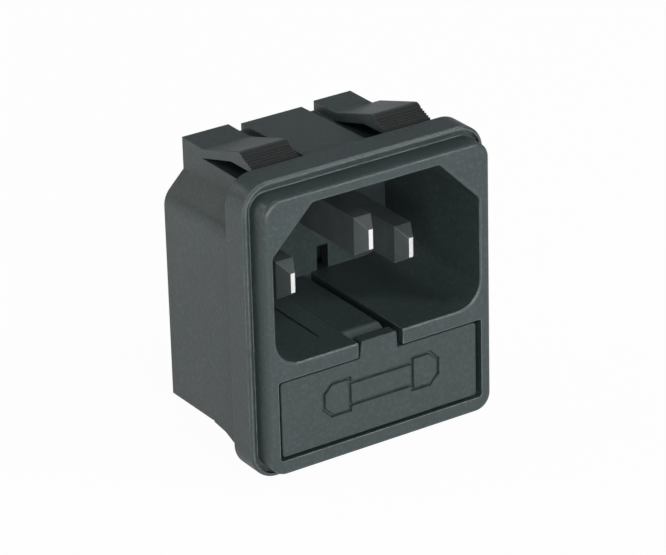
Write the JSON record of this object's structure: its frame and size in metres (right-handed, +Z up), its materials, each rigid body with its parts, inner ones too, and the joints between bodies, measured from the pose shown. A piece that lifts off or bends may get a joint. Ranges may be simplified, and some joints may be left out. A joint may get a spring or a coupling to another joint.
{
  "type": "panel inlet socket with fuse drawer",
  "caption": "Snap-in appliance power inlet with flat contact pins in a keyed recess, a slide-out fuse drawer below it and quick-connect tabs behind.",
  "frame": {"origin": "middle of the flange's rear face, the plane that lands on the panel", "axes": "+X across the face, +Y from the face back into the equipment, +Z up towards the earth pin"},
  "size_m": [0.0281, 0.0264, 0.0325],
  "materials": {
    "housing_plastic": "satin moulded",
    "drawer_plastic": "satin moulded",
    "plate_plastic": "satin moulded",
    "tinned_brass": "tin plated",
    "spring_metal": "tin plated spring metal",
    "rivet_brass": "bright",
    "plated_pin": "bright nickel plated",
    "fuse_glass": "clear",
    "fuse_cap": "bright nickel plated",
    "fuse_wire": "drawn"
  },
  "bodies": {
    "socket": {"housing": "housing_plastic", "rear_plate": "plate_plastic", "line_bus": "tinned_brass", "neutral_tab": "tinned_brass", "load_tab": "tinned_brass", "earth_tab": "tinned_brass", "line_clip": "spring_metal", "load_clip": "spring_metal", "line_rivet": "rivet_brass", "load_rivet": "rivet_brass", "line_pin": "plated_pin", "neutral_pin": "plated_pin", "earth_pin": "plated_pin"},
    "drawer": {"fuse_drawer": "drawer_plastic", "fuse_tube": "fuse_glass", "fuse_wire": "fuse_wire", "fuse_cap_left": "fuse_cap", "fuse_cap_right": "fuse_cap", "spare_tube": "fuse_glass", "spare_wire": "fuse_wire", "spare_cap_left": "fuse_cap", "spare_cap_right": "fuse_cap"}
  },
  "joints": [
    {"name": "drawer_slide", "type": "slide", "parent": "socket", "child": "drawer", "axis": [0, -1, 0], "range_m": [0, 0.0145]}
  ]
}
